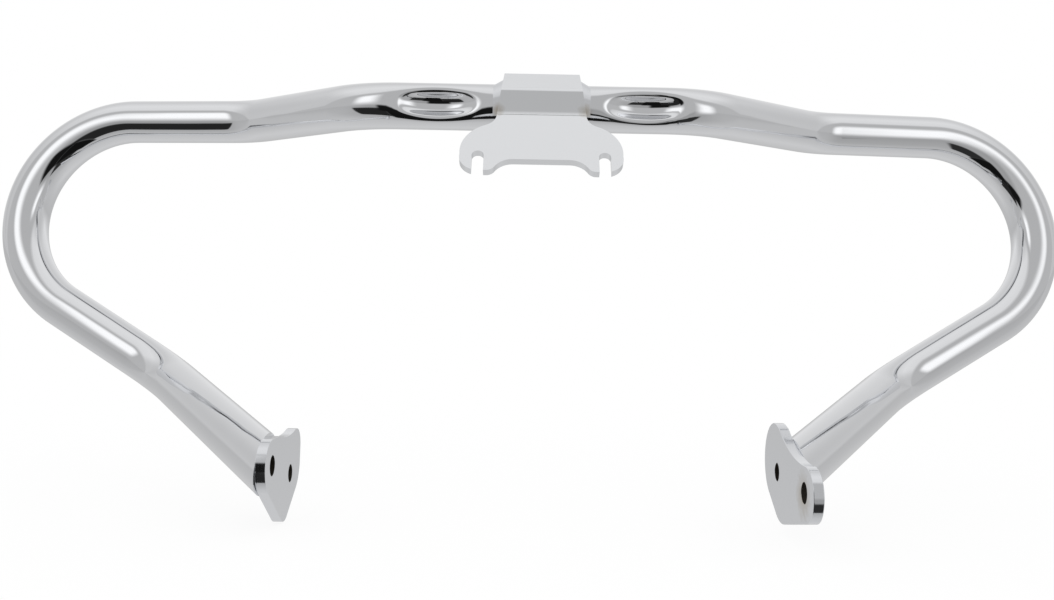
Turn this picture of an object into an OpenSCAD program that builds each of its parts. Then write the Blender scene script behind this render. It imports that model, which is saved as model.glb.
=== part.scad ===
// Motorcycle crash bar (engine guard), chromed steel, millimetres.
// X runs along the bar, to the right as seen from the front; -Y is the front; Z is up.
// The origin is where the bracket is bolted: on the back of its lower plate, midway between
// the round ends of its two open slots. The modules draw about the axis of the tube, and
// placed() moves each one to that frame.

/* [Tube] */
// outside diameter, one and a quarter inches
tube_diameter = 31.75; // [28:0.25:36]
// wall of the tube
tube_wall = 2.4; // [1.6:0.1:3.2]

/* [Bending table, from the middle outwards] */
// straight from the middle of the bracket to the first bend on the left
left_middle = 97.5; // [94:0.5:106]
// the same on the right
right_middle = 85.5; // [84:0.5:98]
// radius of the first bend, at the axis
step_radius = 70; // [60:1:90]
// the first bend takes the tube back by this angle
step_angle = 37.5; // [28:0.5:44]
// sloping straight, left
left_slope = 83.5; // [70:0.5:100]
// sloping straight, right
right_slope = 87; // [70:0.5:100]
// radius of the bend that turns the tube outwards again
return_radius = 60; // [50:1:80]
// angle of that bend
return_angle = 31.2; // [24:0.2:36]
// straight on top, before the loop
top_length = 75; // [60:1:95]
// radius of the big loop
loop_radius = 78.5; // [66:0.5:90]
// angle of the loop
loop_angle = 150.5; // [140:0.5:156]
// turn of the plane of the loop about the tube
loop_turn = 77; // [70:1:84]
// lower straight, after the loop
lower_length = 74; // [60:1:86]
// radius of the last bend
leg_radius = 70; // [56:1:80]
// angle of the last bend
leg_angle = 39.5; // [30:0.5:44]
// turn of its plane about the tube
leg_turn = -89; // [-96:1:-82]

/* [Dishes, pressed into the front of the tube] */
// from the middle of the bracket to the centre of each dish
dish_half_spacing = 71; // [68:0.5:76]
// depth below the crown of the tube
dish_depth = 9; // [6:0.5:10]
// half of the length of the mouth along the tube
dish_half_length = 24; // [20:0.5:26]
// rounding of the press tool across the tube
dish_nose = 7.5; // [6:0.25:9]
// depth of the wide shallow press that turns the rim in
rim_depth = 2.2; // [1:0.1:3]
// how much further than the mouth the turned rim reaches
rim_reach = 4; // [2:0.5:6]
// rounding of the wide press
rim_nose = 13; // [10:0.5:16]

/* [Bracket, bent from plate over the front of the tube] */
// thickness of the plate
bracket_thickness = 5; // [3:0.25:6]
// half of the width at the top edge
bracket_top_half = 25.6; // [20:0.2:30]
// half of the width at the upper fold
bracket_fold_half = 27.4; // [22:0.2:30]
// half of the width at the lower fold
bracket_neck_half = 30; // [26:0.5:34]
// the upper flange leans back from upright by this angle
flange_lean = 43; // [34:1:52]
// length of the upper flange beyond its fold
flange_length = 19; // [14:0.5:22]
// the lower plate leans forward from upright by this angle
apron_lean = 36; // [26:1:44]
// from the axis of the tube down to the lower fold
fold_drop = 8.2; // [6.5:0.1:10]
// inside radius of the folds
fold_radius = 2.5; // [1:0.25:4]
// from the lower fold to the middle of the bottom edge
apron_length = 41; // [36:0.5:45]
// from the lower fold to the tips of the ears
ear_reach = 51; // [49:0.5:53]
// half of the distance between the two open slots
slot_half_spacing = 41.25; // [38:0.25:44]
// width of the open slots
slot_width = 7.75; // [6:0.25:9]
// from the lower fold to the closed end of the slots
slot_top = 34; // [31:0.5:37]
// radius of the ears round the slots
ear_radius = 12; // [10:0.5:14]
// radius of the hollow between neck and ear
neck_radius = 11; // [8:0.5:13]
// radius of the shoulder that runs into the ear
shoulder_radius = 26; // [22:0.5:28]
// flat land beside each slot, before the round of its inner prong
prong_land = 1.9; // [0.5:0.1:3]
// rounding under each inner prong
prong_radius = 6; // [4:0.5:8]
// radius of the arch where it turns down to the prongs
arch_radius = 14; // [9:0.5:16]
// leg of the weld down each side of the bracket
weld_leg = 3; // [2:0.25:4]
// the weld starts above the front of the tube by this angle and ends below it by the next
weld_above = 60; // [45:1:70]
weld_below = 28; // [15:1:35]

/* [End plates] */
// thickness of the plates
plate_thickness = 6; // [4:0.5:8]
// inner face of the left plate, from the middle of the bracket
left_plate_place = 153; // [149:0.5:157]
// inner face of the right plate, from the middle of the bracket
right_plate_place = 147; // [143:0.5:151]
// rounding of the left plate in front of the tube, at its tip, behind and at the upper corner
left_front_radius = 16.2; // [14:0.2:18]
left_tip_radius = 13.4; // [10:0.2:16]
left_back_radius = 21; // [17:0.2:23]
left_corner_radius = 11.2; // [9:0.2:13]
// radius of the hollow along the top of the left plate
left_hollow_radius = 95; // [85:1:115]
// rounding of the right plate in front of, behind and below the tube
right_front_radius = 15.5; // [12:0.5:18]
right_back_radius = 23.8; // [18:0.2:26]
right_belly_radius = 26; // [23:0.5:28]
// radius of the hollow along the top of the right plate
right_hollow_radius = 110; // [100:1:120]
// front bolt hole of each plate
front_hole = 12; // [9:0.5:14]
// rear bolt hole of each plate
rear_hole = 11; // [9:0.5:13]
// leg of the weld round each foot of the tube
foot_weld_leg = 3; // [2:0.25:4]
// the weld under the foot starts behind the axis of the tube by this much
foot_weld_start = 2; // [0:0.5:6]

/* [Hidden] */
$fn = 64;
tube_facets = 32;
lap = 1;
bend_draw = 0.04;
tuck = 0.02;
fold_lap = 3;
tube_radius = tube_diameter / 2;
bore_radius = tube_radius - tube_wall;
left_outside = left_plate_place + plate_thickness;
right_outside = right_plate_place + plate_thickness;

// a station on the tube is its point and its turned axes, X along the tube
function about_x(a) = [[1, 0, 0], [0, cos(a), -sin(a)], [0, sin(a), cos(a)]];
function about_z(a) = [[cos(a), -sin(a), 0], [sin(a), cos(a), 0], [0, 0, 1]];
function after_run(s, length) = [s[0] + s[1] * [length, 0, 0], s[1]];
function after_bend(s, radius, angle, turn) =
    let (m = s[1] * about_x(turn))
    [s[0] + m * [radius * sin(angle), radius * (1 - cos(angle)), 0], m * about_z(angle)];
function leg_start(middle, slope) =
    after_bend(after_run(after_bend(after_run(after_bend(after_run(after_bend(
        [[middle, 0, 0], about_x(0)], step_radius, step_angle, 0), slope),
        return_radius, return_angle, 180), top_length),
        loop_radius, loop_angle, loop_turn), lower_length),
        leg_radius, leg_angle, leg_turn);
function leg_way(start) = start[1] * [1, 0, 0];
function leg_reach(start, x) = (x - start[0][0]) / leg_way(start)[0];
function leg_point(start, x) = start[0] + leg_reach(start, x) * leg_way(start);

left_start = leg_start(left_middle, left_slope);
right_start = leg_start(right_middle, right_slope);
left_foot = leg_point(left_start, left_outside);
right_foot = leg_point(right_start, right_outside);
// the tube runs on past the plate by this much before it is cut square to the plate
foot_spare = 2 * tube_diameter;

// places on the plates, measured back and up from the axis of the tube at the plate
left_front = [-7.2, -0.9];
left_tip = [24.1, -25.5];
left_back = [43.9, -5.8];
left_corner = [54.5, 2.5];
left_hollow = [33, 12 + left_hollow_radius];
left_holes = [[-6.8, 0], [38.4, -12.1]];
right_front = [-42.4, -7.4];
right_belly = [8, -8];
right_back = [27.3, 0];
right_hollow = [-36.2, 8.3 + right_hollow_radius];
right_holes = [[-39, -6.6], [20.3, -5.2]];

// the front face of the bracket lies on the crown of the tube
front_face = tube_radius + bracket_thickness;
// the flange leans back along the crown and touches it too, which sets the upper fold
upper_fold = front_face * tan(flange_lean / 2);
lower_fold = -fold_drop;
fold_foot = lower_fold - bracket_thickness;
ear_height = ear_reach - ear_radius;
slot_end = slot_top + slot_width / 2;
// back and up from the axis of the tube to the origin of the frame
seat = [-front_face - slot_end * sin(apron_lean) + bracket_thickness * cos(apron_lean),
        lower_fold - slot_end * cos(apron_lean) - bracket_thickness * sin(apron_lean)];

// tube

// straights reach a little way into the bends, whose section is drawn in by a hair
module run(length, radius) {
    translate([-lap, 0, 0]) rotate([0, 90, 0]) cylinder(r = radius, h = length + 2 * lap);
    translate([length, 0, 0]) children();
}

// starts at the origin along X and curves towards +Y after the turn about the tube
module bend(bend_radius, angle, turn, radius) {
    rotate([turn, 0, 0]) translate([0, bend_radius, 0]) {
        rotate([0, 0, -90]) rotate_extrude(angle = angle)
            translate([bend_radius, 0]) circle(radius - bend_draw);
        rotate([0, 0, angle]) translate([0, -bend_radius, 0]) children();
    }
}

module half_bar(slope, reach, radius) {
    bend(step_radius, step_angle, 0, radius)
    run(slope, radius)
    bend(return_radius, return_angle, 180, radius)
    run(top_length, radius)
    bend(loop_radius, loop_angle, loop_turn, radius)
    run(lower_length, radius)
    bend(leg_radius, leg_angle, leg_turn, radius)
    run(reach, radius);
}

module bar(radius) {
    translate([-left_middle, 0, 0]) run(left_middle + right_middle, radius);
    translate([right_middle, 0, 0])
        half_bar(right_slope, leg_reach(right_start, right_outside) + foot_spare, radius);
    mirror([1, 0, 0]) translate([left_middle, 0, 0])
        half_bar(left_slope, leg_reach(left_start, left_outside) + foot_spare, radius);
}

// the press tool is a wheel with a rounded rim, its axle upright in front of the tube
module press(half_length, depth, nose, grow) {
    wheel = (half_length * half_length + depth * depth) / (2 * depth);
    translate([0, -tube_radius + depth - wheel, 0]) rotate_extrude() {
        translate([wheel - nose, 0]) circle(nose + grow);
        translate([0, -nose - grow]) square([wheel - nose, 2 * (nose + grow)]);
    }
}

module dish(grow) {
    press(dish_half_length, dish_depth, dish_nose, grow);
    press(dish_half_length + rim_reach, rim_depth, rim_nose, grow);
}

module at_dishes() {
    for (side = [-1, 1]) translate([side * dish_half_spacing, 0, 0]) children();
}

module main_tube() {
    $fn = tube_facets;
    difference() {
        bar(tube_radius);
        difference() {
            bar(bore_radius);
            at_dishes() dish(tube_wall);
        }
        at_dishes() dish(0);
        translate([-left_outside, -300, -400]) cube([left_outside + right_outside, 400, 300]);
    }
}

// bracket

// front outline of the lower plate, its lower fold on the X axis and its ears towards -Y
module apron_outline() {
    shoulder_x = slot_half_spacing + ear_radius - shoulder_radius;
    neck_x = bracket_neck_half + neck_radius;
    // the shoulder and the hollow of the neck touch, which sets the height of the shoulder
    reach = shoulder_radius + neck_radius;
    shoulder_y = sqrt(reach * reach - (neck_x - shoulder_x) * (neck_x - shoulder_x));
    touch = [shoulder_x, -shoulder_y] + [neck_x - shoulder_x, shoulder_y] * shoulder_radius / reach;
    difference() {
        union() {
            for (side = [0, 1]) mirror([side, 0]) {
                difference() {
                    polygon([[0, 0], [bracket_neck_half, 0], [neck_x, 0], touch, [shoulder_x, -shoulder_y],
                             [shoulder_x, -ear_height], [0, -ear_height]]);
                    translate([neck_x, 0]) circle(neck_radius);
                }
                intersection() {
                    translate([shoulder_x, -shoulder_y]) circle(shoulder_radius);
                    translate([shoulder_x, -ear_height])
                        square([shoulder_radius, ear_height + touch[1]]);
                }
                polygon([[shoulder_x, touch[1]], touch, [shoulder_x, -shoulder_y]]);
                translate([slot_half_spacing, -ear_height]) circle(ear_radius);
                translate([0, -ear_height]) mirror([0, 1])
                    square([slot_half_spacing, ear_radius]);
            }
        }
        arch_cut();
        for (side = [-1, 1]) translate([side * slot_half_spacing, -slot_top - slot_width / 2]) {
            circle(slot_width / 2);
            translate([-slot_width / 2, -2 * ear_radius]) square([slot_width, 2 * ear_radius]);
        }
    }
}

// the bottom edge is flat in the middle and swings down to the prongs in a hollow and a round
module arch_cut() {
    prong = [slot_half_spacing - slot_width / 2 - prong_land, -ear_reach + prong_radius];
    reach = prong_radius + arch_radius;
    rise = reach - (ear_reach - apron_length);
    arch = [prong[0] - sqrt(reach * reach - rise * rise), -apron_length - arch_radius];
    // the round and the hollow touch here
    meet = prong + (arch - prong) * prong_radius / reach;
    for (side = [0, 1]) mirror([side, 0]) {
        difference() {
            translate([0, -ear_reach - 1]) square([prong[0], meet[1] + ear_reach + 1]);
            translate(prong) circle(prong_radius);
        }
        intersection() {
            translate(arch) circle(arch_radius);
            translate([0, meet[1]]) square([arch[0] + arch_radius, arch_radius]);
        }
        translate([0, meet[1] - 1]) square([arch[0], 1 - apron_length - meet[1]]);
    }
}

module folded_strip(width) {
    bend_out = fold_radius + bracket_thickness;
    // the straight faces stop short of each fold by the set-back of its bend
    upper_back = bend_out * tan(flange_lean / 2);
    lower_back = fold_radius * tan(apron_lean / 2);
    translate([-width / 2, 0, 0]) rotate([90, 0, 90]) linear_extrude(width) {
        // front face
        translate([-front_face, lower_fold + lower_back])
            square([bracket_thickness, upper_fold - lower_fold - upper_back - lower_back]);
        // upper fold and flange
        translate([-front_face + bend_out, upper_fold - upper_back]) {
            fold_ring(bend_out, 180 - flange_lean, 180);
            rotate(-flange_lean) translate([-bend_out, 0])
                square([bracket_thickness, flange_length - upper_back]);
        }
        // lower fold and apron
        translate([-front_face - fold_radius, lower_fold + lower_back]) {
            fold_ring(bend_out, -apron_lean, 0);
            rotate(-apron_lean) translate([fold_radius, lower_back - ear_reach - 1])
                square([bracket_thickness, ear_reach + 1 - lower_back]);
        }
    }
}

// sector of a ring one plate thick, drawn in by a hair and lapped a little way into both straights
module fold_ring(outer, from, to) {
    difference() {
        circle(outer - tuck);
        circle(outer - bracket_thickness + tuck);
        rotate(from - fold_lap) translate([-2 * outer, -4 * outer]) square(4 * outer);
        rotate(to + fold_lap) translate([-2 * outer, 0]) square(4 * outer);
    }
}

module centre_bracket() {
    intersection() {
        folded_strip(2 * (slot_half_spacing + 2 * ear_radius));
        union() {
            // flange, front face and the back of the lower fold, narrower towards the top
            rotate([90, 0, 0]) linear_extrude(4 * front_face, center = true)
                polygon([[-bracket_neck_half, lower_fold], [-bracket_neck_half, fold_foot],
                         [bracket_neck_half, fold_foot], [bracket_neck_half, lower_fold],
                         [bracket_fold_half, upper_fold],
                         [bracket_top_half, upper_fold + flange_length * cos(flange_lean)],
                         [bracket_top_half, upper_fold + flange_length],
                         [-bracket_top_half, upper_fold + flange_length],
                         [-bracket_top_half, upper_fold + flange_length * cos(flange_lean)],
                         [-bracket_fold_half, upper_fold]]);
            // apron with its ears
            translate([0, -front_face, lower_fold]) rotate([90 - apron_lean, 0, 0])
                linear_extrude(4 * bracket_thickness, center = true) apron_outline();
        }
    }
}

// welds

module bracket_weld(side) {
    difference() {
        rotate([0, 90, 0]) rotate([0, 0, 270 - weld_above]) rotate_extrude(angle = weld_above + weld_below)
            translate([tube_radius, 0]) polygon([[0, side * bracket_top_half],
                     [bracket_thickness - 0.6, side * bracket_top_half],
                     [0, side * (bracket_neck_half + weld_leg)]]);
        centre_bracket();
    }
}

// a cylinder along the last straight of the tube, about the middle of its foot
module along_leg(side, start, foot, radius) {
    way = leg_way(start);
    back = side > 0 ? atan2(way[1], way[0]) : 180 - atan2(way[1], way[0]);
    translate([side * foot[0], foot[1], foot[2]]) rotate([0, acos(way[2]), back])
        cylinder(r = radius, h = 3 * tube_diameter, center = true);
}

// the weld goes round the underside and the back of the foot, where the plate has room for it
module foot_weld(side, start, outside, foot) {
    difference() {
        intersection() {
            along_leg(side, start, foot, tube_radius + foot_weld_leg);
            translate([side > 0 ? outside : -outside - foot_weld_leg, foot[1] + foot_weld_start,
                       foot[2] - 40]) cube([foot_weld_leg, 60, 48]);
        }
        along_leg(side, start, foot, tube_radius);
    }
}

// end plates

// the ends of the line that touches two circles, on the right hand of the way from a to b,
// tucked into the circles by a hair so that the edges cross
function side_line(a, ra, b, rb) =
    let (d = b - a, turn = atan2(d[1], d[0]) - acos((ra - rb) / norm(d)), out = [cos(turn), sin(turn)])
    [a + (ra - tuck) * out, b + (rb - tuck) * out];

// rounded outline about corners [place, radius], named the way round against the clock,
// with the circle of a hollow taken out of its upper edge
module plate_outline(corners, hollow, hollow_radius) {
    last = len(corners) - 1;
    difference() {
        union() {
            polygon([for (i = [0 : last], end = [0, 1])
                let (a = corners[i], b = corners[i == last ? 0 : i + 1])
                side_line(a[0], a[1], b[0], b[1])[end]]);
            for (corner = corners) translate(corner[0]) circle(corner[1]);
        }
        translate(hollow) circle(hollow_radius);
    }
}

module bolt_holes(places) {
    translate(places[0]) circle(d = front_hole);
    translate(places[1]) circle(d = rear_hole);
}

module upright_plate(x, foot) {
    translate([x, foot[1], foot[2]]) rotate([90, 0, 90]) linear_extrude(plate_thickness) children();
}

module left_outline() {
    plate_outline([[left_front, left_front_radius], [left_tip, left_tip_radius],
                   [left_back, left_back_radius], [left_corner, left_corner_radius]],
                  left_hollow, left_hollow_radius);
}

module right_outline() {
    plate_outline([[right_front, right_front_radius], [right_belly, right_belly_radius],
                   [right_back, right_back_radius]],
                  right_hollow, right_hollow_radius);
}

module left_end_plate() {
    upright_plate(-left_outside, left_foot) difference() {
        left_outline();
        bolt_holes(left_holes);
    }
}

module right_end_plate() {
    upright_plate(right_plate_place, right_foot) difference() {
        right_outline();
        bolt_holes(right_holes);
    }
}

module placed() {
    translate([0, -seat[0], -seat[1]]) children();
}

color([0.80, 0.81, 0.83]) placed() main_tube();
color([0.62, 0.70, 0.80]) placed() centre_bracket();
color([0.80, 0.66, 0.50]) placed() left_end_plate();
color([0.55, 0.75, 0.60]) placed() right_end_plate();
color([0.85, 0.45, 0.35]) placed() bracket_weld(-1);  // bracket_weld_left
color([0.85, 0.45, 0.35]) placed() bracket_weld(1);  // bracket_weld_right
color([0.85, 0.45, 0.35]) placed() foot_weld(-1, left_start, left_outside, left_foot);  // left_foot_weld
color([0.85, 0.45, 0.35]) placed() foot_weld(1, right_start, right_outside, right_foot);  // right_foot_weld
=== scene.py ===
"""Looks of a chromed motorcycle crash bar, in the frame of its CAD model.

The tube is swept along its bending table in Geometry Nodes. The bracket, the end plates and the welds
are the CAD model's own, the first three with their edges broken. Sizes are in millimetres and angles in
degrees, unless a comment names another unit.
"""

import math

import bmesh
import bpy
import numpy as np
from mathutils import Matrix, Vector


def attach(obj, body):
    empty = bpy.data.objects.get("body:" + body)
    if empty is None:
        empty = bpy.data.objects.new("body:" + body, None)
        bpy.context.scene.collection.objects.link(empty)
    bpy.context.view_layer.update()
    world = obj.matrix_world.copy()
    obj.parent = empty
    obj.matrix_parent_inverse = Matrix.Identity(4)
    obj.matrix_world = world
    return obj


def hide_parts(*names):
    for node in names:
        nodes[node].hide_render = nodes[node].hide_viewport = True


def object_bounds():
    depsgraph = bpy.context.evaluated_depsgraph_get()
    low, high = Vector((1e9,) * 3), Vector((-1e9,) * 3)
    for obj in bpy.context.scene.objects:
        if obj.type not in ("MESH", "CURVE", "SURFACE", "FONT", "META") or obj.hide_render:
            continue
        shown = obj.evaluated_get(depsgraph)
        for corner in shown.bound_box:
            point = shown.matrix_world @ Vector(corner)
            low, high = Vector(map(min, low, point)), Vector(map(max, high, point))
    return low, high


MM = 0.001

# ---- the part's own sizes, as in its source

TUBE_R = 15.875
TUBE_WALL = 2.4
LEFT_MIDDLE, RIGHT_MIDDLE = 97.5, 85.5           # straight from the middle of the bracket to the first bend
LEFT_SLOPE, RIGHT_SLOPE = 83.5, 87.0             # straight between the step and the return bend
STEP_R, STEP_A = 70.0, 37.5                      # a bend's radius and angle
RETURN_R, RETURN_A, RETURN_TURN = 60.0, 31.2, 180.0
TOP = 75.0                                       # straight above the loop
LOOP_R, LOOP_A, LOOP_TURN = 78.5, 150.5, 77.0    # turn: how far the tube is turned in the bender first
LOWER = 74.0                                     # straight below the loop
LEG_R, LEG_A, LEG_TURN = 70.0, 39.5, -89.0
LEFT_OUTSIDE, RIGHT_OUTSIDE = 159.0, 153.0       # from the middle to the outer face of each end plate
DISH_X = 71.0                                    # from the middle to each dish
FOLD_DROP = 8.2                                  # from the tube's axis down to the bracket's lower fold
SEAT = (-39.092, -41.780)                        # from the tube's axis back and up to the frame's origin

# holes of the end plates: back and up from the middle of the tube's foot, and radius
LEFT_HOLES = ((-6.8, 0.0, 6.0), (38.4, -12.1, 5.5))
RIGHT_HOLES = ((-39.0, -6.6, 6.0), (20.3, -5.2, 5.5))

# ---- what is bolder here than in the source: the dishes, as the two presses leave them

DISH_DEPTH, DISH_HALF, PRESS_ROUNDING = 11.0, 27.0, 7.4
RIM_DEPTH, RIM_HALF, RIM_ROUNDING = 5.6, 28.0, 34.0
LIP_SOFTNESS = 2.2
ROUND_SHARE = 0.93                               # share of a press's rounding that is used, straight past it
LIP_START, LIP_GROWTH = -9.0, 7.0                # where the soft lip begins before the press, and grows over
DISH_REACH = 38.0                                # the presses move nothing further along the tube
DISH_BACK = 3.0                                  # nor anything behind this

# ---- how finely the tube is drawn

DISHED_STEP = 0.75                               # between points of the dished middle
STRAIGHT_STEP = 50.0                             # between points of the other straights
BEND_STEP = 2.5                                  # degrees between points of a bend
RING_POINTS = 144
FEET_BELOW = -150.0                              # only the feet are lower than this under the tube's axis
OPEN_EDGE = 1.5                                  # an edge with fewer faces than this is open
BORE_SEEN = 70.0                                 # length of bore that is drawn behind each foot
CREASE = 45.0                                    # sharper edges of the tube stay sharp

# ---- how the plates and the bracket are finished

MERGE = 0.002                                    # points closer than this are one
FLAT = 0.5                                       # faces that differ by less are one flat
EDGE_BREAK, EDGE_STEPS, EDGE_ANGLE = 0.5, 3, 40.0
HOLE_MARGIN = 0.4                                # room for the broken edge of a hole
WALL_LEAN = 0.3                                  # most that a hole's wall leans out of the plate's thickness

# camera, found by fitting the bending table to the outline in the photograph; turns in radians
CAMERA_AT = (-9.896, -650.994, -90.381)
CAMERA_YAW = -0.00356
CAMERA_ROLL = 0.0185
LENS = 34.156
SENSOR = 36.0

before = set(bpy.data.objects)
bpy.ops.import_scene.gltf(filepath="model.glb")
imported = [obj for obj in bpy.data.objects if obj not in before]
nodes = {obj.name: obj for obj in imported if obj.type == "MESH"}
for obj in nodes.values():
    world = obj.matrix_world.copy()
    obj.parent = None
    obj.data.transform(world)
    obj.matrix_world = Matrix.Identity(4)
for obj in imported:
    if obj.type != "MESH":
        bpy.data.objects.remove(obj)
cad_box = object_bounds()
scene = bpy.context.scene
scene.view_settings.view_transform = "Standard"


# ---- nodes written as sums

class Num:
    """A number in a node tree. Plus, minus, times and the functions below add Math nodes."""

    def __init__(self, tree, socket):
        self.tree, self.socket = tree, socket

    def math(self, kind, *others):
        node = self.tree.nodes.new("ShaderNodeMath")
        node.operation = kind
        self.tree.links.new(self.socket, node.inputs[0])
        for i, other in enumerate(others, 1):
            if isinstance(other, Num):
                self.tree.links.new(other.socket, node.inputs[i])
            else:
                node.inputs[i].default_value = other
        return Num(self.tree, node.outputs[0])

    def __add__(self, o):
        return self.math("ADD", o)

    def __sub__(self, o):
        return self.math("SUBTRACT", o)

    def __mul__(self, o):
        return self.math("MULTIPLY", o)

    def __truediv__(self, o):
        return self.math("DIVIDE", o)

    def __rsub__(self, o):
        return self * -1.0 + o

    def __gt__(self, o):
        return self.math("GREATER_THAN", o)

    def __lt__(self, o):
        return self.math("LESS_THAN", o)


def sqrt(a):
    return a.math("SQRT")


def size_of(a):
    return a.math("ABSOLUTE")


def least(a, b):
    return a.math("MINIMUM", b)


def most(a, b):
    return a.math("MAXIMUM", b)


def share(a):
    """a, but no less than 0 and no more than 1."""
    return least(most(a, 0.0), 1.0)


def pick(test, yes, no):
    """yes where test is 1, no where it is 0."""
    return no + test * (yes - no)


def apply_modifiers(obj):
    bpy.context.view_layer.update()
    mesh = bpy.data.meshes.new_from_object(obj.evaluated_get(bpy.context.evaluated_depsgraph_get()))
    obj.modifiers.clear()
    obj.data = mesh


class Nodes:
    """A Geometry Nodes tree with named inputs, run once on an object and baked into its mesh."""

    def __init__(self, name):
        self.tree = bpy.data.node_groups.new(name, "GeometryNodeTree")
        face = self.tree.interface
        face.new_socket("Geometry", in_out="INPUT", socket_type="NodeSocketGeometry")
        face.new_socket("Geometry", in_out="OUTPUT", socket_type="NodeSocketGeometry")
        self.start = self.tree.nodes.new("NodeGroupInput")
        self.end = self.tree.nodes.new("NodeGroupOutput")
        self.values = {}

    def size(self, name, value):
        socket = self.tree.interface.new_socket(name, in_out="INPUT", socket_type="NodeSocketFloat")
        self.values[socket.identifier] = float(value)
        return Num(self.tree, self.start.outputs[name])

    def add(self, kind, **settings):
        node = self.tree.nodes.new(kind)
        for key, value in settings.items():
            setattr(node, key, value)
        return node

    def join(self, a, b):
        self.tree.links.new(a.socket if isinstance(a, Num) else a, b)

    def here(self):
        """The place of each point in millimetres."""
        node = self.add("ShaderNodeSeparateXYZ")
        self.join(self.add("GeometryNodeInputPosition").outputs[0], node.inputs[0])
        return [Num(self.tree, s) * 1000.0 for s in node.outputs]

    def moved(self, geometry, where, *place):
        """The geometry with its chosen points at a place in millimetres."""
        vector = self.add("ShaderNodeCombineXYZ")
        for value, socket in zip(place, vector.inputs):
            self.join(value * MM, socket)
        node = self.add("GeometryNodeSetPosition")
        self.join(geometry, node.inputs["Geometry"])
        self.join(where, node.inputs["Selection"])
        self.join(vector.outputs[0], node.inputs["Position"])
        return node.outputs[0]

    def new_rim(self, geometry, edges):
        """A new rim drawn from these edges, still in their place, and the choice of its points."""
        node = self.add("GeometryNodeExtrudeMesh", mode="EDGES")
        self.join(geometry, node.inputs["Mesh"])
        self.join(edges, node.inputs["Selection"])
        node.inputs["Offset Scale"].default_value = 0.0
        return node.outputs["Mesh"], node.outputs["Top"]

    def bake(self, obj, geometry, material):
        real = self.add("GeometryNodeRealizeInstances")
        paint = self.add("GeometryNodeSetMaterial")
        paint.inputs["Material"].default_value = material
        self.join(geometry, real.inputs[0])
        self.join(real.outputs[0], paint.inputs["Geometry"])
        self.join(paint.outputs[0], self.end.inputs[0])
        modifier = obj.modifiers.new("shape", "NODES")
        modifier.node_group = self.tree
        for identifier, value in self.values.items():
            modifier[identifier] = value
        apply_modifiers(obj)


# ---- materials

# brown stains where the heat of a weld or a wet bolt hole has dulled the plate: place and reach, in metres
WELD_STAINS = (((-0.0295, 0.0215, 0.0365), 0.0065), ((0.0295, 0.0215, 0.0365), 0.0065))
HOLE_STAIN = ((0.147, -0.0975, -0.196), 0.015)
STAIN_BROWN = (0.42, 0.34, 0.22, 1)
STAIN_STRENGTH = 0.75
MOTTLE, MOTTLE_SCALE = 0.6, 260.0

# the sweep that the press has drawn above the bracket's lower fold
SWEEP_HEIGHT, SWEEP_SLOPE = 8.5, 0.55

# the two near-black browns painted on the wall of each bolt hole as its shade
HOLE_SHADE_BLACK = (0.012, 0.010, 0.008, 1)
HOLE_SHADE_BROWN = (0.05, 0.038, 0.025, 1)
HOLE_SHADE_MOTTLE_SCALE = 400.0


def new_material(name):
    mat = bpy.data.materials.new(name)
    mat.use_nodes = True
    return mat, mat.node_tree, mat.node_tree.nodes["Principled BSDF"]


def placed(tree, group):
    node = tree.nodes.new("ShaderNodeGroup")
    node.node_tree = group
    return node


def shader_group(name, inputs, output, kind):
    group = bpy.data.node_groups.new(name, "ShaderNodeTree")
    for label, socket in inputs.items():
        group.interface.new_socket(label, in_out="INPUT", socket_type=socket)
    group.interface.new_socket(output, in_out="OUTPUT", socket_type=kind)
    coord = group.nodes.new("ShaderNodeTexCoord")
    given, out = group.nodes.new("NodeGroupInput"), group.nodes.new("NodeGroupOutput")
    return group, given, out, coord.outputs["Object"]


def polish_waves():
    """The slow waves that hand polishing leaves in the plate, as a normal."""
    group, given, out, place = shader_group(
        "polish_waves",
        {"Waves per metre": "NodeSocketFloat", "Height": "NodeSocketFloat"},
        "Normal", "NodeSocketVector")
    noise = group.nodes.new("ShaderNodeTexNoise")
    noise.inputs["Detail"].default_value = 1.0
    bump = group.nodes.new("ShaderNodeBump")
    group.links.new(place, noise.inputs["Vector"])
    group.links.new(given.outputs["Waves per metre"], noise.inputs["Scale"])
    group.links.new(noise.outputs["Fac"], bump.inputs["Height"])
    group.links.new(given.outputs["Height"], bump.inputs["Distance"])
    group.links.new(bump.outputs["Normal"], out.inputs["Normal"])
    return group


def weld_stain():
    """A mottled round stain, 1 at its place and 0 beyond its reach."""
    group, given, out, place = shader_group(
        "weld_stain",
        {"Place": "NodeSocketVector", "Reach": "NodeSocketFloat"},
        "Mask", "NodeSocketFloat")
    far = group.nodes.new("ShaderNodeVectorMath")
    far.operation = "DISTANCE"
    group.links.new(place, far.inputs[0])
    group.links.new(given.outputs["Place"], far.inputs[1])
    noise = group.nodes.new("ShaderNodeTexNoise")
    noise.inputs["Scale"].default_value = MOTTLE_SCALE
    group.links.new(place, noise.inputs["Vector"])
    away = Num(group, far.outputs["Value"]) / Num(group, given.outputs["Reach"])
    mottled = away + Num(group, noise.outputs["Fac"]) * MOTTLE - MOTTLE / 2
    group.links.new(share(1.0 - mottled).socket, out.inputs["Mask"])
    return group


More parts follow.
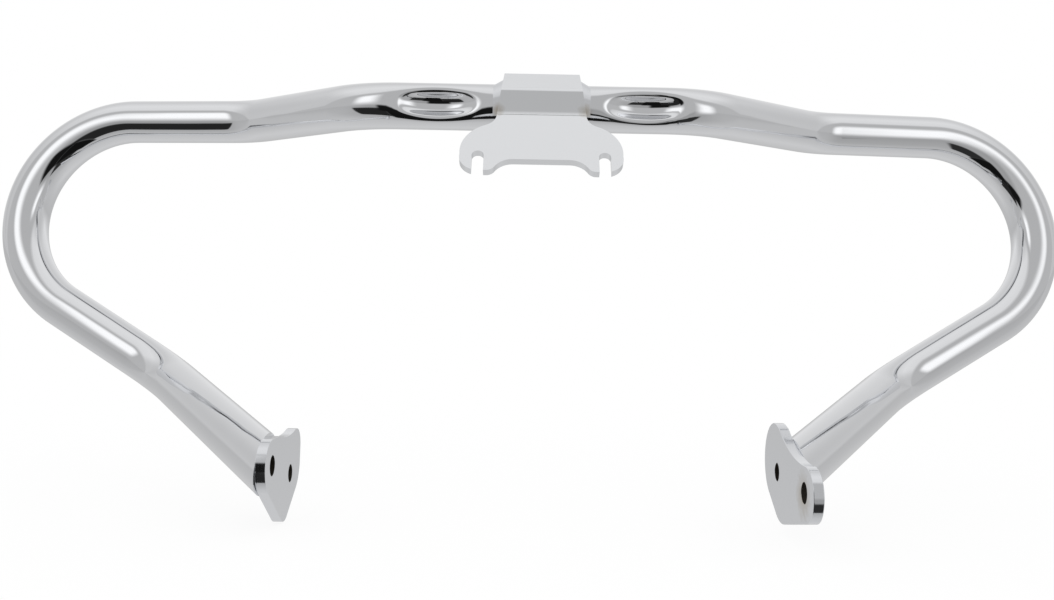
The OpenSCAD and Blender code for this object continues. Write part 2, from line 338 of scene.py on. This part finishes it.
def swept_fold():
    """Leans the front face of the bracket over towards its lower fold, as the press has drawn it."""
    group, given, out, place = shader_group(
        "swept_fold",
        {"Fold height": "NodeSocketFloat", "Sweep": "NodeSocketFloat", "Slope": "NodeSocketFloat",
         "Normal": "NodeSocketVector"},
        "Normal", "NodeSocketVector")
    split = group.nodes.new("ShaderNodeSeparateXYZ")
    group.links.new(place, split.inputs[0])
    sweep = Num(group, given.outputs["Sweep"])
    above = most(Num(group, split.outputs["Z"]) - Num(group, given.outputs["Fold height"]), 0.0)
    left = most(sweep - above, 0.0)
    rise = left * left / sweep * Num(group, given.outputs["Slope"]) * 0.5
    bump = group.nodes.new("ShaderNodeBump")
    bump.inputs["Distance"].default_value = 1.0
    group.links.new(rise.socket, bump.inputs["Height"])
    group.links.new(given.outputs["Normal"], bump.inputs["Normal"])
    group.links.new(bump.outputs["Normal"], out.inputs["Normal"])
    return group


WAVES, STAIN = polish_waves(), weld_stain()


def chrome(name, colour, rough, waves, height, stains):
    """Bright chrome plate with polish waves so many to the metre and so high, and brown stains."""
    mat, tree, plate = new_material(name)
    plate.inputs["Metallic"].default_value = 1.0
    plate.inputs["Roughness"].default_value = rough
    wave = placed(tree, WAVES)
    wave.inputs["Waves per metre"].default_value = waves
    wave.inputs["Height"].default_value = height * MM
    tree.links.new(wave.outputs["Normal"], plate.inputs["Normal"])
    under = None
    for place, reach in stains:
        stain = placed(tree, STAIN)
        stain.inputs["Place"].default_value = place
        stain.inputs["Reach"].default_value = reach
        mix = tree.nodes.new("ShaderNodeMix")
        mix.data_type = "RGBA"
        mix.inputs["A"].default_value = (*colour, 1)
        mix.inputs["B"].default_value = STAIN_BROWN
        tree.links.new((Num(tree, stain.outputs["Mask"]) * STAIN_STRENGTH).socket, mix.inputs["Factor"])
        if under:
            tree.links.new(under, mix.inputs["A"])
        under = mix.outputs["Result"]
    tree.links.new(under, plate.inputs["Base Color"])
    return mat


def lean_front_face(mat):
    tree = mat.node_tree
    fold = placed(tree, swept_fold())
    fold.inputs["Fold height"].default_value = (-FOLD_DROP - SEAT[1]) * MM
    fold.inputs["Sweep"].default_value = SWEEP_HEIGHT * MM
    fold.inputs["Slope"].default_value = SWEEP_SLOPE
    normal = tree.nodes["Principled BSDF"].inputs["Normal"]
    tree.links.new(normal.links[0].from_socket, fold.inputs["Normal"])
    tree.links.new(fold.outputs["Normal"], normal)


def painted_hole_shade(name):
    """Painted shade on the wall of a drilled hole: near black, mottled at random between two dark browns."""
    mat, tree, steel = new_material(name)
    steel.inputs["Metallic"].default_value = 0.6
    steel.inputs["Roughness"].default_value = 0.6
    coord = tree.nodes.new("ShaderNodeTexCoord")
    noise = tree.nodes.new("ShaderNodeTexNoise")
    noise.inputs["Scale"].default_value = HOLE_SHADE_MOTTLE_SCALE
    mix = tree.nodes.new("ShaderNodeMix")
    mix.data_type = "RGBA"
    mix.inputs["A"].default_value = HOLE_SHADE_BLACK
    mix.inputs["B"].default_value = HOLE_SHADE_BROWN
    tree.links.new(coord.outputs["Object"], noise.inputs["Vector"])
    tree.links.new(noise.outputs["Fac"], mix.inputs["Factor"])
    tree.links.new(mix.outputs["Result"], steel.inputs["Base Color"])
    return mat


tube_chrome = chrome("tube_chrome", (0.855, 0.863, 0.882), rough=0.045, waves=22.0, height=0.35,
                     stains=WELD_STAINS)
plate_chrome = chrome("plate_chrome", (0.845, 0.858, 0.885), rough=0.10, waves=30.0, height=0.25,
                      stains=(*WELD_STAINS, HOLE_STAIN))
bracket_chrome = chrome("bracket_chrome", (0.865, 0.876, 0.895), rough=0.10, waves=30.0, height=0.25,
                        stains=WELD_STAINS)
lean_front_face(bracket_chrome)
# the walls of the bolt holes are painted near black as their shade
hole_wall = painted_hole_shade("hole_wall")


# ---- centre line of the tube

def about(axis, angle):
    return np.array(Matrix.Rotation(math.radians(angle), 3, axis))


def half_line(middle, slope, outside):
    """Points of the centre line from the middle of the bar out to its foot, the way of the last straight,
    and the middle of the foot on the plate, for the right-hand side."""
    p, m = np.zeros(3), np.eye(3)
    points = [p]

    def run(length, step):
        nonlocal p
        n = max(1, math.ceil(length / step))
        points.extend(p + m[:, 0] * length * i / n for i in range(1, n + 1))
        p = points[-1]

    def bend(radius, angle, turn=0.0):
        nonlocal p, m
        m = m @ about("X", turn)
        n = math.ceil(angle / BEND_STEP)
        for i in range(1, n + 1):
            a = math.radians(angle) * i / n
            points.append(p + m @ np.array([radius * math.sin(a), radius * (1 - math.cos(a)), 0]))
        p, m = points[-1], m @ about("Z", angle)

    run(middle, DISHED_STEP)
    bend(STEP_R, STEP_A)
    run(slope, STRAIGHT_STEP)
    bend(RETURN_R, RETURN_A, RETURN_TURN)
    run(TOP, STRAIGHT_STEP)
    bend(LOOP_R, LOOP_A, LOOP_TURN)
    run(LOWER, STRAIGHT_STEP)
    bend(LEG_R, LEG_A, LEG_TURN)
    way = m[:, 0]
    reach = (outside - p[0]) / way[0]
    foot = p + reach * way
    run(reach + 2 * TUBE_R, math.inf)
    return np.array(points), way, foot


RIGHT_LINE, FOOT_WAY, RIGHT_FOOT = half_line(RIGHT_MIDDLE, RIGHT_SLOPE, RIGHT_OUTSIDE)
LEFT_LINE, _, LEFT_FOOT = half_line(LEFT_MIDDLE, LEFT_SLOPE, LEFT_OUTSIDE)


# ---- the tube

def stand_for(piece, node):
    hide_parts(node)
    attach(piece, "root")


def soft_most(a, b, ease):
    """The larger of two, with the corner between them eased."""
    gap = a - b
    return (a + b + sqrt(gap * gap + ease * ease)) * 0.5


def press_face(x, z, half, deep, rounding, radius):
    """How far forward the face of a press stands: a wheel with a round rim, sunk into the front of a tube
    of this radius until its mark is so deep and, to each side, half so long."""
    wheel = (half * half + deep * deep) / (deep * 2.0)
    limit = rounding * ROUND_SHARE
    flat = least(size_of(z), limit)
    fall = (size_of(z) - flat) * (limit / sqrt(rounding * rounding - limit * limit))
    reach = wheel - rounding + sqrt(rounding * rounding - flat * flat) - fall
    side = size_of(x)
    curve = sqrt(most(reach * reach - side * side, 0.0)) + least(reach - side, 0.0) * 2.0
    return curve - wheel + deep - radius


def bent_tube():
    line = np.concatenate([(LEFT_LINE * [-1, 1, 1])[:0:-1], RIGHT_LINE]) * MM
    mesh = bpy.data.meshes.new("bent_tube")
    mesh.from_pydata(line.tolist(), [(i, i + 1) for i in range(len(line) - 1)], [])
    obj = bpy.data.objects.new("bent_tube", mesh)
    scene.collection.objects.link(obj)

    g = Nodes("bent_tube")
    radius = g.size("Tube radius", TUBE_R)
    bore = g.size("Bore radius", TUBE_R - TUBE_WALL)
    dish_x = g.size("Dish place", DISH_X)
    dish = [g.size("Dish half length", DISH_HALF), g.size("Dish depth", DISH_DEPTH),
            g.size("Press rounding", PRESS_ROUNDING)]
    rim = [g.size("Rim half length", RIM_HALF), g.size("Rim depth", RIM_DEPTH),
           g.size("Rim rounding", RIM_ROUNDING)]
    lip = g.size("Lip softness", LIP_SOFTNESS)
    left_outside = g.size("Left plate", -LEFT_OUTSIDE)
    right_outside = g.size("Right plate", RIGHT_OUTSIDE)
    way_x, way_y, way_z = (g.size("Way of the foot " + axis, v) for axis, v in zip("XYZ", FOOT_WAY))
    left_foot = [g.size("Left foot " + axis, v) for axis, v in zip("YZ", LEFT_FOOT[1:])]
    right_foot = [g.size("Right foot " + axis, v) for axis, v in zip("YZ", RIGHT_FOOT[1:])]

    line_curve = g.add("GeometryNodeMeshToCurve")
    g.join(g.start.outputs["Geometry"], line_curve.inputs["Mesh"])
    ring = g.add("GeometryNodeCurvePrimitiveCircle")
    ring.inputs["Resolution"].default_value = RING_POINTS
    g.join(radius * MM, ring.inputs["Radius"])
    sweep = g.add("GeometryNodeCurveToMesh")
    g.join(line_curve.outputs[0], sweep.inputs["Curve"])
    g.join(ring.outputs[0], sweep.inputs["Profile Curve"])

    # each end slides along the last straight until it lies on the outer face of its plate
    x, y, z = g.here()
    is_right = x > 0.0
    plate = pick(is_right, right_outside, left_outside)
    slide = (plate - x) / pick(is_right, way_x, way_x * -1.0)
    beyond = (z < FEET_BELOW) * (size_of(x) < size_of(plate))
    geometry = g.moved(sweep.outputs[0], beyond, plate, y + slide * way_y, z + slide * way_z)

    # the wall of the tube at its feet, drawn in from the open edge
    faces = Num(g.tree, g.add("GeometryNodeInputMeshEdgeNeighbors").outputs[0])
    geometry, inner_edge = g.new_rim(geometry, faces < OPEN_EDGE)
    x, y, z = g.here()
    foot_y, foot_z = (pick(x > 0.0, right, left) for right, left in zip(right_foot, left_foot))
    shrink = bore / radius
    geometry = g.moved(geometry, inner_edge, x, foot_y + (y - foot_y) * shrink, foot_z + (z - foot_z) * shrink)

    # a length of the bore behind it, seen only through the plate's hole
    geometry, bore_end = g.new_rim(geometry, inner_edge)
    x, y, z = g.here()
    slant = pick(x > 0.0, way_x, way_x * -1.0)
    geometry = g.moved(geometry, bore_end,
                       x - slant * BORE_SEEN, y - way_y * BORE_SEEN, z - way_z * BORE_SEEN)

    # the dishes: a deep press with a wide shallow one round it, their corners softened
    x, y, z = g.here()
    along = size_of(x) - dish_x
    pressed = soft_most(press_face(along, z, *dish, radius), press_face(along, z, *rim, radius), lip) - y
    push = soft_most(pressed, 0.0, lip) * share((pressed - LIP_START) / LIP_GROWTH)
    near = (size_of(along) < DISH_REACH) * (y < DISH_BACK) * (size_of(z) < TUBE_R + 1.0)
    geometry = g.moved(geometry, near, x, y + push, z)

    shift = g.add("GeometryNodeTransform")
    g.join(geometry, shift.inputs["Geometry"])
    shift.inputs["Translation"].default_value = (0, -SEAT[0] * MM, -SEAT[1] * MM)
    smooth = g.add("GeometryNodeSetShadeSmooth")
    g.join(shift.outputs[0], smooth.inputs[0])
    g.bake(obj, smooth.outputs[0], tube_chrome)
    obj.data.set_sharp_from_angle(angle=math.radians(CREASE))
    return obj


stand_for(bent_tube(), "main_tube")


# ---- plates, bracket and welds

def is_hole_wall(face, foot, holes):
    for back, up, radius in holes:
        off_y = face.center.y - (foot[1] + back - SEAT[0]) * MM
        off_z = face.center.z - (foot[2] + up - SEAT[1]) * MM
        if math.hypot(off_y, off_z) < (radius + HOLE_MARGIN) * MM and abs(face.normal.x) < WALL_LEAN:
            return True
    return False


def edges_broken(name, material, foot=None, holes=()):
    """Puts a merged copy of a CAD node in its place, with rounded edges and painted shade on the walls of its
    holes.
    """
    obj = nodes[name].copy()
    obj.data = nodes[name].data.copy()
    obj.name = name + "_chromed"
    obj.parent = None
    scene.collection.objects.link(obj)
    work = bmesh.new()
    work.from_mesh(obj.data)
    bmesh.ops.remove_doubles(work, verts=work.verts, dist=MERGE * MM)
    bmesh.ops.dissolve_limit(work, angle_limit=math.radians(FLAT), verts=work.verts, edges=work.edges)
    work.to_mesh(obj.data)
    work.free()
    obj.data.materials.clear()
    obj.data.materials.append(material)
    bevel = obj.modifiers.new("edges", "BEVEL")
    bevel.width = EDGE_BREAK * MM
    bevel.segments = EDGE_STEPS
    bevel.limit_method = "ANGLE"
    bevel.angle_limit = math.radians(EDGE_ANGLE)
    flats = obj.modifiers.new("flats", "WEIGHTED_NORMAL")
    flats.weight = 100
    flats.keep_sharp = True
    obj.data.shade_smooth()
    apply_modifiers(obj)
    # the faces of each hole's wall take the painted hole shade
    if holes:
        obj.data.materials.append(hole_wall)
    for face in obj.data.polygons:
        if is_hole_wall(face, foot, holes):
            face.material_index = 1
    stand_for(obj, name)


edges_broken("left_end_plate", plate_chrome, LEFT_FOOT, LEFT_HOLES)
edges_broken("right_end_plate", plate_chrome, RIGHT_FOOT, RIGHT_HOLES)
edges_broken("centre_bracket", bracket_chrome)
for name in ("bracket_weld_left", "bracket_weld_right", "left_foot_weld", "right_foot_weld"):
    nodes[name].data.materials.clear()
    nodes[name].data.materials.append(plate_chrome)


# ---- the studio: a tent and cards round the object, which only its reflections see; places in metres

# what the chrome gives back of a grey, so that the tent and cards can be named by the grey seen in it
CHROME_GREY = 0.87

# the tent's grey by degrees from the front over the top: 0 front, 90 up, 180 behind
TENT = [(-180, 180), (-135, 200), (-90, 190), (-60, 165), (-10, 150), (0, 175), (55, 175), (65, 215), (90, 220),
        (125, 200), (165, 220), (180, 180)]
TENT_R = 4.0
TENT_ENDS = 180                                  # grey of its two ends
ENDS_FROM, ENDS_TO, ENDS_SHARE = 35.0, 70.0, 0.7

# cards: place of the middle, width, height, grey, and half the width of the soft edge
CARDS = {
    "window_right": ((1.01, -0.84, 0.25), 0.58, 0.82, 252, 0.24),
    "window_left": ((-0.79, -0.76, 0.50), 0.54, 0.72, 252, 0.20),
    "table_left": ((-0.74, -0.75, -0.72), 0.92, 0.96, 35, 0.06),
    "table_right": ((0.51, -0.75, -0.90), 0.58, 0.90, 42, 0.06),
    "stand": ((-0.02, -0.70, -0.98), 0.56, 1.24, 18, 0.04),
    "camera_body": ((-0.145, -0.46, -0.135), 0.39, 0.27, 20, 0.04),
}

PAPER = (0.9, 0.9, 0.9, 1)
WHITE = (1, 1, 1, 1)
FLOOR_SIZE, FLOOR_GAP = 8.0, 0.0005
FLOOR_GLOW, GLOW_SHARE = 1.026, 0.88             # what makes the floor white, with a little room for the shadow


def light(seen):
    """The colour of a light that the chrome shows as this grey, 0 to 255."""
    strength = ((seen / 255 + 0.055) / 1.055) ** 2.4 / CHROME_GREY
    return (strength, strength, strength, 1)


def ease(a, low, high):
    """0 below low, 1 above high, smooth between."""
    node = a.tree.nodes.new("ShaderNodeMapRange")
    node.interpolation_type = "SMOOTHSTEP"
    node.inputs["From Min"].default_value = low
    node.inputs["From Max"].default_value = high
    a.tree.links.new(a.socket, node.inputs["Value"])
    return Num(a.tree, node.outputs[0])


def stage_material(name):
    mat = bpy.data.materials.new(name)
    mat.use_nodes = True
    mat.node_tree.nodes.clear()
    out = mat.node_tree.nodes.new("ShaderNodeOutputMaterial")
    return mat, mat.node_tree, out.inputs["Surface"]


def object_place(tree):
    coord = tree.nodes.new("ShaderNodeTexCoord")
    split = tree.nodes.new("ShaderNodeSeparateXYZ")
    tree.links.new(coord.outputs["Object"], split.inputs[0])
    return [Num(tree, s) for s in split.outputs]


def mixed(tree, factor, first, second):
    mix = tree.nodes.new("ShaderNodeMixShader")
    if isinstance(factor, Num):
        tree.links.new(factor.socket, mix.inputs[0])
    else:
        mix.inputs[0].default_value = factor
    tree.links.new(first, mix.inputs[1])
    tree.links.new(second, mix.inputs[2])
    return mix.outputs[0]


def seen_in_chrome_only(obj, mat):
    obj.data.materials.append(mat)
    obj.visible_camera = False
    obj.visible_diffuse = False
    obj.visible_transmission = False
    obj.visible_shadow = False


def build_tent():
    bpy.ops.mesh.primitive_uv_sphere_add(segments=96, ring_count=48, radius=TENT_R)
    tent = bpy.context.object
    tent.name = "light_tent"
    tent.data.shade_smooth()
    mat, tree, surface = stage_material("tent_cloth")
    x, y, z = object_place(tree)
    turn = z.math("ARCTAN2", y * -1.0) / (2 * math.pi) + 0.5
    ramp = tree.nodes.new("ShaderNodeValToRGB")
    tree.links.new(turn.socket, ramp.inputs["Fac"])
    row = ramp.color_ramp.elements
    while len(row) > 1:
        row.remove(row[-1])
    for i, (degrees, seen) in enumerate(TENT):
        place = (degrees + 180) / 360
        stop = row.new(place) if i else row[0]
        stop.position = place
        stop.color = light(seen)
    low, high = (TENT_R * math.sin(math.radians(a)) for a in (ENDS_FROM, ENDS_TO))
    ends = ease(size_of(x), low, high) * ENDS_SHARE
    grey = pick(ends, light(TENT_ENDS)[0], Num(tree, ramp.outputs["Color"]))
    glow = tree.nodes.new("ShaderNodeEmission")
    tree.links.new(grey.socket, glow.inputs["Color"])
    tree.links.new(glow.outputs[0], surface)
    seen_in_chrome_only(tent, mat)


def build_card(name, middle, width, height, seen, soft):
    mx, my, mz = middle
    half_w, half_h = width / 2 + soft, height / 2 + soft
    corners = [(mx + side * half_w, my, mz + up * half_h) for side, up in ((-1, -1), (1, -1), (1, 1), (-1, 1))]
    mesh = bpy.data.meshes.new(name)
    mesh.from_pydata(corners, [], [(0, 3, 2, 1)])
    card = bpy.data.objects.new(name, mesh)
    scene.collection.objects.link(card)
    mat, tree, surface = stage_material(name + "_cloth")
    x, _, z = object_place(tree)
    beside = ease(size_of(x - mx), width / 2 - soft, half_w)
    above = ease(size_of(z - mz), height / 2 - soft, half_h)
    glow = tree.nodes.new("ShaderNodeEmission")
    glow.inputs["Color"].default_value = light(seen)
    clear = tree.nodes.new("ShaderNodeBsdfTransparent")
    inside = (1.0 - beside) * (1.0 - above)
    tree.links.new(mixed(tree, inside, clear.outputs[0], glow.outputs[0]), surface)
    seen_in_chrome_only(card, mat)


def background_mix(tree, plain, white):
    """White where the camera, a reflection or a pane looks at it, and plain for the light it gives."""
    path = tree.nodes.new("ShaderNodeLightPath")
    seen = Num(tree, path.outputs["Is Camera Ray"])
    for ray in ("Is Glossy Ray", "Is Transmission Ray"):
        seen = most(seen, Num(tree, path.outputs[ray]))
    return mixed(tree, seen, plain, white)


def build_world():
    world = bpy.data.worlds.new("studio")
    scene.world = world
    world.use_nodes = True
    tree = world.node_tree
    tree.nodes.clear()
    out = tree.nodes.new("ShaderNodeOutputWorld")
    shades = []
    for colour in (PAPER, WHITE):
        node = tree.nodes.new("ShaderNodeBackground")
        node.inputs["Color"].default_value = colour
        shades.append(node.outputs[0])
    tree.links.new(background_mix(tree, *shades), out.inputs["Surface"])


def build_floor():
    low, _ = cad_box
    bpy.ops.mesh.primitive_plane_add(size=FLOOR_SIZE, location=(0, 0, low[2] - FLOOR_GAP))
    floor = bpy.context.object
    floor.name = "floor"
    mat, tree, surface = stage_material("floor_paper")
    paper = tree.nodes.new("ShaderNodeBsdfDiffuse")
    paper.inputs["Color"].default_value = PAPER
    glow = tree.nodes.new("ShaderNodeEmission")
    glow.inputs["Color"].default_value = WHITE
    glow.inputs["Strength"].default_value = FLOOR_GLOW
    lit = mixed(tree, GLOW_SHARE, paper.outputs[0], glow.outputs[0])
    tree.links.new(background_mix(tree, paper.outputs[0], lit), surface)
    floor.data.materials.append(mat)
    floor.visible_glossy = False


build_tent()
for name, facts in CARDS.items():
    build_card(name, *facts)
build_world()
build_floor()


# ---- camera

def place_camera():
    cy, sy = math.cos(CAMERA_YAW), math.sin(CAMERA_YAW)
    cr, sr = math.cos(CAMERA_ROLL), math.sin(CAMERA_ROLL)
    yaw = np.array([[cy, sy, 0], [-sy, cy, 0], [0, 0, 1]])
    roll = np.array([[cr, 0, sr], [0, 1, 0], [-sr, 0, cr]])
    right, ahead, up = roll @ yaw
    cam = bpy.data.cameras.new("camera")
    cam.sensor_width = SENSOR
    cam.lens = LENS
    cam.clip_start = 0.01
    obj = bpy.data.objects.new("camera", cam)
    scene.collection.objects.link(obj)
    place = Matrix.Identity(4)
    for i in range(3):
        place[i] = (right[i], up[i], -ahead[i], CAMERA_AT[i] * MM)
    obj.matrix_world = place
    scene.camera = obj


place_camera()
